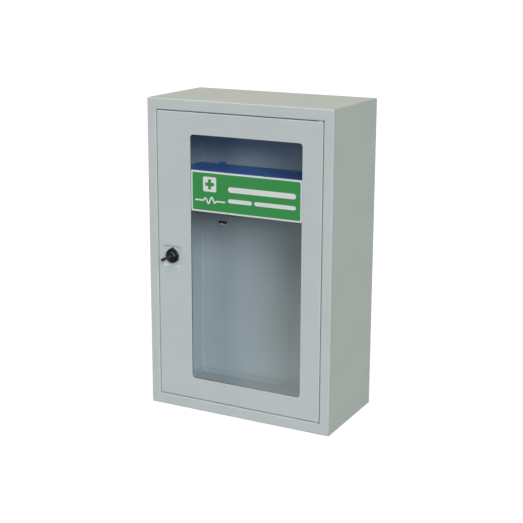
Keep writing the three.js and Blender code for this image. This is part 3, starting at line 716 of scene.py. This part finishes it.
def shelf():
    """A plate folded down at the front and rear, with two hooked tabs that fill the slots."""
    front_lip = 20 * MM
    rear_lip = 12 * MM
    rear_y = BACK_INNER - 4 * MM
    front_line = shelf_low.y + SHEET / 2
    rear_line = rear_y - SHEET / 2
    level = SHELF_TOP - SHEET / 2
    outline = strip_outline([(front_line, SHELF_TOP - front_lip), (front_line, level), (rear_line, level),
                             (rear_line, SHELF_TOP - rear_lip)], SHEET, BEND - SHEET / 2)
    body = prism([outline], shelf_low.x, shelf_high.x, along_x)
    notch = SLOT_WIDTH / 2 + SHEET
    tab = SLOT_WIDTH / 2 - FIT
    root = rear_y - 3 * MM  # the plate ends here between the rear lips
    hook_line = shelf_high.y - SHEET / 2
    section = strip_outline([(root - SHEET, level), (hook_line, level), (hook_line, shelf_high.z)],
                            SHEET, SHEET / 2 + 0.1 * MM)
    cuts = []
    tabs = []
    for x in (-SLOT_X, SLOT_X):
        cuts.append(block((x - notch, root, SHELF_TOP - 2 * rear_lip), (x + notch, BACK, SHELF_TOP + MM)))
        tabs.append(prism([section], x - tab, x + tab, along_x))
    body = combined(body, cut=cuts)
    body = combined(body, add=tabs)
    paint = painted_steel("blue_paint", BLUE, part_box("shelf"))
    return stands_for(softened(body, 0.25 * MM), "shelf", paint, "blue_paint")


def shelf_bracket(node):
    """An angle with rounded ends, welded to the side wall under the shelf."""
    low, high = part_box(node)
    wall, free = (low.x, high.x) if low.x < 0 else (high.x, low.x)
    wall_line = wall + math.copysign(SHEET / 2, free - wall)
    level = high.z - SHEET / 2
    outline = strip_outline([(wall_line, low.z), (wall_line, level), (free, level)], SHEET, BEND - SHEET / 2)
    return in_grey(softened(prism([outline], low.y, high.y, along_y), 0.3 * MM), node)


def pivot_place(outer_z, inward):
    """Places (across, up, depth) around a pivot axis, depth running in from the carcass's end."""
    def place(u, v, depth):
        return Vector((PIVOT_X + u, PIVOT_Y + v, outer_z + inward * depth))
    return place


def pivot_pin(node, outer_z, inward):
    """A headed steel pin that hangs through the frame into the door's bush."""
    low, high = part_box(node)
    head, tip = sorted((abs(low.z - outer_z), abs(high.z - outer_z)))
    under = head + 2 * MM
    radius = 2 * MM
    head_radius = 3.6 * MM
    profile = filleted([(0, head), (head_radius, head), (head_radius, under), (radius, under), (radius, tip),
                        (0, tip)], [0.5 * MM, 0.2 * MM, 0.15 * MM, 0.7 * MM], 3)
    return in_zinc(evened(turned(profile, pivot_place(outer_z, inward), ROUND_SMALL)), node)


def door_buffer(node):
    """A self-adhesive rubber dome on the stop lip."""
    low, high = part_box(node)
    radius = (high.x - low.x) / 2
    depth = high.y - low.y
    profile = filleted([(0, 0), (radius * 0.62, 0), (radius, depth * 0.75), (radius, depth), (0, depth)],
                       [0.9 * MM, 0.4 * MM, 0.15 * MM], 5)
    dome = turned(profile, around((low.x + high.x) / 2, (low.z + high.z) / 2, low.y), 40)
    return stands_for(evened(dome), node, RUBBER, "black_rubber")


# ---- door

DISH = 23.5 * MM  # half of the square dish pressed round the lock
DISH_CORNER = 6 * MM
DISH_DEPTH = 3 * MM
BARREL_HOLE = 9.4 * MM
DOOR_RETURN = 10 * MM
DOOR_EDGE = 2.2 * MM  # outer radius of the door's front edges


def stud_places():
    """Two weld studs along each edge of the pane, as (x, z)."""
    outset = PANE_OVERLAP + 7 * MM
    from_end = 70 * MM
    left, right, bottom, top = WINDOW
    places = []
    for z in (bottom + from_end, top - from_end):
        places += [(left - outset, z), (right + outset, z)]
    for x in (left + from_end, right - from_end):
        places += [(x, bottom - outset), (x, top + outset)]
    return places


def thread(radius, pitch, start, end):
    """The rings of a screw thread as (radius, distance) pairs."""
    turns = max(2, round((end - start) / pitch))
    step = (end - start) / turns
    pairs = []
    for turn in range(turns):
        pairs += [(radius * 0.86, start + turn * step), (radius, start + (turn + 0.4) * step),
                  (radius, start + (turn + 0.6) * step)]
    return pairs + [(radius * 0.86, end)]


def door_ring(margin, y):
    """The door's outline drawn in by a margin, with its corners drawn in too."""
    radius = max(2.6 * MM - margin, 0.6 * MM)
    points = rounded_rectangle(door_low.x + margin, door_high.x - margin, door_low.z + margin,
                               door_high.z - margin, radius, 6)
    return [along_y(x, z, y) for x, z in points]


def door_skin():
    """The profile of the folded edge, from the front face round to the inner face."""
    front = door_low.y
    rear = door_high.y
    edge = DOOR_RETURN + SHEET
    outside = filleted([(DOOR_EDGE + MM, front), (0, front), (0, rear), (edge, rear)],
                       [DOOR_EDGE, BEND])
    inside = filleted([(edge, rear - SHEET), (SHEET, rear - SHEET), (SHEET, front + SHEET),
                       (DOOR_EDGE + MM, front + SHEET)], [BEND - SHEET, DOOR_EDGE - SHEET])
    return outside + inside


def window_loops():
    """The cut edge of the window, from the front face to the inner face."""
    front = door_low.y
    profile = filleted([(1.5 * MM, front), (0, front), (0, front + SHEET), (1.5 * MM, front + SHEET)],
                       [0.5 * MM, 0.4 * MM], 3)
    loops = []
    for grow, y in profile:
        outline = grown_window(grow, WINDOW_CORNER + grow)
        loops.append([along_y(x, z, y) for x, z in outline])
    return loops


def dish_loops():
    """The dish round the lock: down its front surface, through the barrel hole, and back behind."""
    front = door_low.y
    floor = front + DISH_DEPTH
    draft = 1.0 * MM
    front_face = filleted([(DISH + 2 * MM, front), (DISH, front), (DISH - draft, floor), (DISH / 2, floor)],
                          [1.1 * MM, 1.2 * MM])
    rear_face = filleted([(DISH / 2, floor + SHEET), (DISH + SHEET - draft, floor + SHEET),
                          (DISH + SHEET, front + SHEET), (DISH + 4 * MM, front + SHEET)],
                         [2.4 * MM, 0.5 * MM])
    loops = []
    for half, y in front_face[:-1]:
        loops.append((half, DISH_CORNER + half - DISH, y))
    loops.append((BARREL_HOLE, BARREL_HOLE, floor))
    loops.append((BARREL_HOLE, BARREL_HOLE, floor + SHEET))
    for half, y in rear_face[1:]:
        loops.append((half, DISH_CORNER + half - DISH, y))
    return [[along_y(LOCK_X + x, LOCK_Z + z, y) for x, z in rounded_square(half, radius)]
            for half, radius, y in loops]


def door_panel():
    mesh = bmesh.new()
    skin = loft(mesh, [door_ring(margin, y) for margin, y in door_skin()])
    window = loft(mesh, window_loops())
    dish = loft(mesh, dish_loops())
    fill(mesh, [skin[0], window[0], dish[0]])
    fill(mesh, [skin[-1], window[-1], dish[-1]])
    body = made(mesh)
    bores = []
    for outer_z, inward in ((door_low.z, 1), (door_high.z, -1)):
        bores.append(turned([(0, -MM), (BUSH_HOLE, -MM), (BUSH_HOLE, 3 * MM), (0, 3 * MM)],
                            pivot_place(outer_z, inward), 32))
    body = combined(body, cut=bores)
    softened(body, 0.15 * MM, 2, 60)
    start = door_low.y + SHEET
    end = start + 12.3 * MM
    profile = [(0, start - 0.3 * MM), (2.6 * MM, start - 0.3 * MM), (2.4 * MM, start + 0.5 * MM)]
    profile += thread(2 * MM, 0.7 * MM, start + 0.8 * MM, end - 0.4 * MM)
    profile += [(1.4 * MM, end), (0, end)]
    studs = [turned(profile, around(x, z), ROUND_SMALL) for x, z in stud_places()]
    return in_grey(joined(body, *studs), "door_panel")


def pivot_plate(node):
    """A stiffening plate with rounded corners, bored for the bush."""
    low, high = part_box(node)
    outline = rounded_rectangle(low.x, high.x, low.y, high.y, 2 * MM, 5)
    hole = arc((PIVOT_X, PIVOT_Y), BUSH_HOLE, 0, 360 - 360 / 32, 31)
    plate = prism([outline, hole], low.z, high.z, along_z)
    return in_zinc(softened(plate, 0.3 * MM), node)


def pivot_bush(node, outer_z, inward):
    """A flanged nylon bush pressed into the end of the door."""
    bore = 2.25 * MM
    body = 3 * MM
    flange = 4.5 * MM
    start = -1.4 * MM
    seat = -FIT
    end = 8 * MM
    chamfer = 0.3 * MM
    profile = [(bore, start + chamfer), (bore + chamfer, start), (flange - chamfer, start),
               (flange, start + chamfer), (flange, seat - 0.2 * MM), (flange - 0.2 * MM, seat), (body, seat),
               (body, end - 2 * chamfer), (body - chamfer, end), (bore, end)]
    bush = turned(profile, pivot_place(outer_z, inward), 40, ring=True)
    return stands_for(softened(bush, 0.08 * MM), node, NYLON, "natural_nylon")


def grown_window(margin, radius):
    """The window's outline drawn out by a margin."""
    left, right, bottom, top = WINDOW
    return rounded_rectangle(left - margin, right + margin, bottom - margin, top + margin, radius)


def gasket():
    """A foam ring behind the door's skin, just in view round the window."""
    low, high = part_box("glazing_gasket")
    seen = 0.4 * MM
    ring = prism([grown_window(PANE_OVERLAP, 2 * MM), grown_window(-seen, WINDOW_CORNER - seen)],
                 low.y, high.y, along_y)
    return stands_for(softened(ring, 0.25 * MM), "glazing_gasket", FOAM, "black_rubber")


def pane():
    sheet = prism([grown_window(PANE_OVERLAP, 2 * MM)], pane_low.y, pane_high.y, along_y)
    return stands_for(softened(sheet, 0.4 * MM), "glazing_pane", PANE, "clear_pane")


def retainer(node):
    """A flat strip that holds the pane, bored for the studs that fall inside it."""
    low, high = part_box(node)
    contours = [rounded_rectangle(low.x, high.x, low.z, high.z, 1.5 * MM, 4)]
    for x, z in stud_places():
        if low.x < x < high.x and low.z < z < high.z:
            contours.append(arc((x, z), 2.4 * MM, 0, 345, ROUND_SMALL - 1))
    strip = prism(contours, low.y, high.y, along_y)
    return in_grey(softened(strip, 0.3 * MM), node)


def hexagon_radius(across_flats, angle):
    """Distance from a hexagon's middle to its side at an angle in radians."""
    sector = math.pi / 3
    return across_flats / 2 / math.cos((angle % sector) - sector / 2)


def nut(across_flats, bore, start, end, place, segments):
    """A hexagon nut with its corners chamfered at both ends."""
    corner = across_flats / math.sqrt(3)
    face = across_flats / 2 * 0.97
    chamfer = (corner - across_flats / 2) * 0.6
    steps = 4
    rims = [(face + (corner - face) * step / steps, chamfer * step / steps) for step in range(steps + 1)]
    levels = [(limit, start + depth) for limit, depth in rims]
    levels += [(limit, end - depth) for limit, depth in rims[::-1]]
    angles = full_turn(segments)
    loops = []
    for limit, w in levels:
        loops.append(circle(place, [min(limit, hexagon_radius(across_flats, a)) for a in angles], w, angles))
    sink = 0.35 * MM
    for r, w in ((bore + sink, end), (bore, end - sink), (bore, start + sink), (bore + sink, start)):
        loops.append(circle(place, r, w, angles))
    mesh = bmesh.new()
    loft(mesh, loops, ring=True)
    return made(mesh)


def retainer_nut(node):
    low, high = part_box(node)
    place = around((low.x + high.x) / 2, (low.z + high.z) / 2)
    body = nut(7 * MM, 2.1 * MM, low.y, high.y, place, 48)
    return in_zinc(softened(body, 0.08 * MM, 2, 30), node)


# ---- sign

MARK = 0.15 * MM  # thickness of the white film on the green


def mark(name, contours):
    """A piece of white film on the sign's green field."""
    film = prism(contours, field_low.y - MARK, field_low.y + MARK / 3, along_y)
    film.name = name
    film.data.materials.append(SIGN_WHITE)
    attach(film, "door")
    return evened(film)


def cross_outline(x, z, half, arm):
    """A plain cross with equal arms."""
    quarter = [(arm, -half), (arm, -arm), (half, -arm)]
    points = []
    for turn in range(4):
        rotation = Matrix.Rotation(math.radians(90 * turn), 2)
        points += [tuple(Vector((x, z)) + rotation @ Vector(point)) for point in quarter]
    return points


def sign():
    """The white backing, the green field, and plain marks where a sign has its symbols and words."""
    layers = (("sign_backing", SIGN_WHITE, "sign_white"), ("sign_field", SIGN_GREEN, "sign_green"))
    for node, material, slot in layers:
        low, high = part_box(node)
        film = prism([rounded_rectangle(low.x, high.x, low.z, high.z, 3 * MM)], low.y, high.y, along_y)
        stands_for(softened(film, 0.08 * MM), node, material, slot)
    sign_symbol(field_low.x + 43 * MM, field_low.z + 58.5 * MM)
    sign_pulse(field_low.x + 7 * MM, field_low.z + 22 * MM)
    sign_bars(field_low.x + 89 * MM, field_high.x - 10 * MM)


def sign_symbol(x, z):
    """A rounded square with a plain cross cut out of it."""
    half = 16.5 * MM
    square = rounded_rectangle(x - half, x + half, z - half, z + half, 4 * MM)
    mark("sign_symbol_square", [square, cross_outline(x, z, 11 * MM, 3.8 * MM)])


def sign_pulse(left, level):
    """A plain line with three beats."""
    beats = ((0, 0), (20, 0), (26, 7), (33, -9), (41, 11), (48, -5), (53, 0), (75, 0))
    line = [(left + across * MM, level + up * MM) for across, up in beats]
    mark("sign_pulse_line", [strip_outline(line, 3.4 * MM, 1.9 * MM)])


def sign_bars(left, right):
    """Bars for two lines of words, the lower one in two parts."""
    split = left + 58 * MM
    gap = 6 * MM
    upper = field_low.z + 51 * MM
    lower = field_low.z + 26 * MM
    for name, start, end, middle, height in (
            ("upper", left, right, upper, 12 * MM),
            ("lower_left", left, split, lower, 9 * MM),
            ("lower_right", split + gap, right, lower, 9 * MM)):
        half = height / 2
        outline = rounded_rectangle(start, end, middle - half, middle + half, half - 0.1 * MM)
        mark(f"sign_bar_{name}", [outline])


# ---- lock

BEZEL = 16 * MM
BEZEL_TIP = 19.5 * MM
BEZEL_TIP_RADIUS = 2.5 * MM
BEZEL_FRONT = -3.5 * MM
HUB = 11.7 * MM

lock_place = around(LOCK_X, LOCK_Z, door_low.y)  # distances run back from the door's face


def teardrop(inset):
    """A circle drawn up to a rounded point, drawn in by an inset."""
    height = BEZEL_TIP - BEZEL_TIP_RADIUS
    lean = math.degrees(math.asin((BEZEL - BEZEL_TIP_RADIUS) / height))
    tip = arc((0, height), BEZEL_TIP_RADIUS - inset, lean, 180 - lean, 8)
    return tip + arc((0, 0), BEZEL - inset, 180 - lean, 360 + lean, 55)


def lock_body():
    """The teardrop bezel, its round recess, and the threaded barrel behind the door's skin."""
    angles = [math.atan2(v, u) for u, v in teardrop(0)]
    seat = DISH_DEPTH - 0.05 * MM
    bore = 5.6 * MM
    recess = 12.3 * MM
    recess_floor = BEZEL_FRONT + 3 * MM
    barrel = 9 * MM
    end = 21 * MM
    break_edge = 0.4 * MM
    inner = [(bore, recess_floor), (recess, recess_floor), (recess, BEZEL_FRONT + break_edge),
             (recess + break_edge, BEZEL_FRONT)]
    outer = [(barrel, seat), *thread(barrel, MM, seat + 0.5 * MM, end - 0.8 * MM),
             (barrel - 0.8 * MM, end), (bore + 0.5 * MM, end), (bore, end - 0.5 * MM)]
    loops = [circle(lock_place, radius, w, angles) for radius, w in inner]
    for inset, w in filleted([(2.2 * MM, BEZEL_FRONT), (0, BEZEL_FRONT), (0, seat)], [1.5 * MM]):
        loops.append([lock_place(u, v, w) for u, v in teardrop(inset)])
    loops += [circle(lock_place, radius, w, angles) for radius, w in outer]
    mesh = bmesh.new()
    loft(mesh, loops, ring=True)
    return in_plastic(softened(made(mesh), 0.12 * MM, 2, 50), "lock_body")


def swept(path, radii, segments):
    """A round bar along a path of points, closed to a point at both ends."""
    mesh = bmesh.new()
    side = Vector((0, 0, 1))
    loops = []
    for i, (point, (wide, thick)) in enumerate(zip(path, radii)):
        ahead = (path[min(i + 1, len(path) - 1)] - path[max(i - 1, 0)]).normalized()
        across = ahead.cross(side).normalized()
        up = across.cross(ahead).normalized()
        loops.append([point + across * wide * math.cos(a) + up * thick * math.sin(a)
                      for a in full_turn(segments)])
    rows = loft(mesh, loops)
    mesh.faces.new(rows[0])
    mesh.faces.new(rows[-1])
    return made(mesh)


def lock_lever():
    """The domed hub, and the thumb lever that sweeps forward and outward from it."""
    back = BEZEL_FRONT + 2.7 * MM
    hub = turned(filleted([(0, -8 * MM), (7.4 * MM, -8 * MM), (7.9 * MM, -7.3 * MM), (9.0 * MM, -7.2 * MM),
                           (HUB, -5 * MM), (HUB, back), (0, back)],
                          [0.3 * MM, 0.3 * MM, 0.5 * MM, 1.2 * MM, 0.2 * MM], 4), lock_place)
    droop = math.radians(25)
    outward = Vector((-math.cos(droop), 0, -math.sin(droop)))

    def at(reach, height):
        return Vector((LOCK_X, door_low.y - height, LOCK_Z)) + outward * reach

    start, bend, end = at(0, 4 * MM), at(4 * MM, 18 * MM), at(10 * MM, 25.8 * MM)
    path = []
    radii = []
    steps = 18
    for step in range(steps + 1):
        t = step / steps
        path.append(start * (1 - t) ** 2 + bend * 2 * t * (1 - t) + end * t * t)
        root = max(0.0, 1 - t / 0.45) ** 2
        radius = (2.9 + 3.2 * root + 1.2 * t * t) * MM
        radii.append((radius, radius * 0.92))
    heading = (path[-1] - path[-2]).normalized()
    tip = radii[-1]
    for step in range(1, 7):
        angle = math.radians(15 * step)
        path.append(end + heading * tip[0] * math.sin(angle))
        shrink = max(math.cos(angle), 0.06)
        radii.append((tip[0] * shrink, tip[1] * shrink))
    arm = swept(path, radii, 32)
    lever = combined(hub, add=[arm])
    return in_plastic(softened(lever, 0.25 * MM, 3, 35), "lock_lever")


def lock_nut():
    low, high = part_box("lock_nut")
    body = nut(24 * MM, 8.9 * MM, low.y - door_low.y, high.y - door_low.y, lock_place, 96)
    return in_zinc(softened(body, 0.12 * MM, 2, 30), "lock_nut")


def lock_spindle():
    """Round through the barrel, square under the cam."""
    low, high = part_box("lock_spindle")
    front = low.y - door_low.y
    end = high.y - door_low.y
    shoulder = end - 2.5 * MM
    round_part = turned(filleted([(0, front), (5 * MM, front), (5 * MM, shoulder), (0, shoulder)],
                                 [0.3 * MM, 0.3 * MM], 3), lock_place, 40)
    square = prism([rounded_square(3.5 * MM, 0.4 * MM)], shoulder - MM, end, lock_place)
    tapped = 2.3 * MM
    depth = end - 8 * MM
    hole = turned([(0, depth), (tapped, depth), (tapped, end + MM), (0, end + MM)], lock_place, 32)
    body = combined(round_part, add=[square], cut=[hole])
    return in_zinc(softened(body, 0.15 * MM), "lock_spindle")


def lock_cam():
    """A plate cam with a round head over the spindle and a finger that tapers to a round end."""
    low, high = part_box("lock_cam")
    head = (high.x - low.x) / 2
    tail = 5.5 * MM
    length = LOCK_Z - low.z - tail
    lean = math.degrees(math.asin((head - tail) / length))
    outline = arc((0, 0), head, -lean, 180 + lean, 28) + arc((0, -length), tail, 180 + lean, 360 - lean, 20)
    hole = rounded_square(3.8 * MM, 0.4 * MM)
    cam = prism([outline, hole], low.y - door_low.y, high.y - door_low.y, lock_place)
    return in_zinc(softened(cam, 0.3 * MM), "lock_cam")


def cam_washer():
    low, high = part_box("cam_washer")
    near = low.y - door_low.y
    far = high.y - door_low.y
    bore = 2.5 * MM
    rim = 6 * MM
    washer = turned([(bore, near), (rim, near), (rim, far), (bore, far)], lock_place, 48, ring=True)
    return in_zinc(softened(washer, 0.2 * MM), "cam_washer")


def cam_screw():
    """A pan-head screw with a cross recess, its thread in the spindle."""
    low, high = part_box("cam_screw")
    tip = low.y - door_low.y
    top = high.y - door_low.y
    under = top - 3 * MM
    profile = [(0, tip), (1.6 * MM, tip)] + thread(2.2 * MM, 0.7 * MM, tip + 0.4 * MM, under)
    profile += filleted([(4.5 * MM, under), (4.5 * MM, under + 1.2 * MM), (3.2 * MM, top), (0, top)],
                        [0.6 * MM, 1.2 * MM], 4)
    screw = turned(profile, lock_place, 40)
    arms = []
    for wide, tall in ((2.4 * MM, 0.55 * MM), (0.55 * MM, 2.4 * MM)):
        arms.append(block_at(lock_place, (-wide, -tall, top - 1.6 * MM), (wide, tall, top + MM)))
    screw = combined(screw, cut=arms)
    return in_zinc(softened(screw, 0.08 * MM, 2, 45), "cam_screw")


# ---- the whole cabinet

def build_carcass():
    tray("top_tray", HEIGHT, -1)
    tray("bottom_tray", 0.0, 1)
    side("left_side", -1)
    side("right_side", 1)
    back_panel()
    shelf()
    for hand in ("left", "right"):
        slot_plug(f"slot_plug_{hand}")
        shelf_bracket(f"shelf_bracket_{hand}")
    pivot_pin("upper_pivot_pin", HEIGHT, -1)
    pivot_pin("lower_pivot_pin", 0.0, 1)
    for level in ("upper", "lower"):
        door_buffer(f"door_buffer_{level}")


def build_door():
    door_panel()
    pivot_bush("upper_pivot_bush", door_high.z, -1)
    pivot_bush("lower_pivot_bush", door_low.z, 1)
    for level in ("upper", "lower"):
        pivot_plate(f"{level}_pivot_plate")
    gasket()
    pane()
    for edge in ("left", "right", "top", "bottom"):
        retainer(f"pane_retainer_{edge}")
    for index in range(len(stud_places())):
        retainer_nut(f"retainer_nut_{index + 1}")
    sign()


def build_lock():
    lock_body()
    lock_nut()
    lock_lever()
    lock_spindle()
    lock_cam()
    cam_washer()
    cam_screw()


# ---- studio

SKY = 0.16  # strength of the sky's light on the cabinet
PAPER = (1.0, 1.0, 1.0, 1.0)
LIGHTS = (  # name, azimuth, elevation, energy, width, colour
    ("key", 41, 20.5, 1.30, 22, (0.90, 0.97, 1.10)),
    ("fill", -13, 46, 0.80, 36, (1.0, 0.97, 0.98)),
    ("front", 4, 15, 0.24, 16, (0.94, 1.0, 1.06)),
    ("side", 85, 25, 0.55, 45, (0.97, 1.0, 0.75)),
    ("overhead", 30, 86, 1.06, 50, (1.0, 0.88, 0.70)),
)


def viewpoint(azimuth, elevation):
    """The direction from the object to a viewer, from angles in degrees."""
    a = math.radians(azimuth)
    e = math.radians(elevation)
    return Vector((math.sin(a) * math.cos(e), -math.cos(a) * math.cos(e), math.sin(e)))


def add_camera():
    camera = bpy.data.objects.new("camera", bpy.data.cameras.new("camera"))
    bpy.context.scene.collection.objects.link(camera)
    back = viewpoint(27.50, 13.65)
    camera.location = (1.183, -2.272, 1.009)
    camera.rotation_mode = "QUATERNION"
    roll = Quaternion((0, 0, 1), math.radians(0.21))
    camera.rotation_quaternion = (-back).to_track_quat("-Z", "Y") @ roll
    camera.data.lens = 80.27
    camera.data.sensor_width = 36.0
    camera.data.shift_y = -0.04  # the photo is cropped from below its own middle
    camera.data.clip_end = 200.0
    bpy.context.scene.camera = camera


def add_world():
    """A soft even sky, which the camera sees as white paper."""
    world = bpy.data.worlds.new("studio")
    bpy.context.scene.world = world
    world.use_nodes = True
    tree = world.node_tree
    tree.nodes.clear()
    seen = put(tree, "ShaderNodeLightPath", {}).outputs["Is Camera Ray"]
    strength = spread(tree, seen, 0.0, 1.0, SKY, 1.0)
    tone = blend(tree, seen, (0.92, 1.0, 0.82, 1.0), PAPER)
    sky = put(tree, "ShaderNodeBackground", {"Color": tone, "Strength": strength})
    output = put(tree, "ShaderNodeOutputWorld", {})
    tree.links.new(sky.outputs[0], output.inputs["Surface"])


def add_light(name, azimuth, elevation, energy, width, colour):
    """A distant round light, as wide as an angle in degrees."""
    data = bpy.data.lights.new(name, "SUN")
    data.energy = energy
    data.angle = math.radians(width)
    data.color = colour
    light = bpy.data.objects.new(name, data)
    bpy.context.scene.collection.objects.link(light)
    light.rotation_mode = "QUATERNION"
    light.rotation_quaternion = viewpoint(azimuth, elevation).to_track_quat("Z", "Y")


def add_floor():
    """A pale floor that glows a little, so that the shadow on it stays faint."""
    mesh = bmesh.new()
    half = 60.0
    outline = ((-half, -half), (half, -half), (half, half), (-half, half))
    mesh.faces.new([mesh.verts.new((x, y, -0.5 * MM)) for x, y in outline])
    floor = made(mesh, "floor")
    material, tree, coordinates, output = shader("floor")
    seen = put(tree, "ShaderNodeLightPath", {}).outputs["Is Camera Ray"]
    glow = math_node(tree, "MULTIPLY", seen, 0.9)
    surface = put(tree, "ShaderNodeBsdfPrincipled", {
        "Base Color": (0.2, 0.2, 0.2, 1.0), "Roughness": 0.9, "Specular IOR Level": 0.0,
        "Emission Color": PAPER, "Emission Strength": glow})
    tree.links.new(surface.outputs[0], output)
    floor.data.materials.append(material)


bpy.context.scene.view_settings.view_transform = "Standard"
add_camera()
add_world()
for light in LIGHTS:
    add_light(*light)
add_floor()
build_carcass()
build_door()
build_lock()
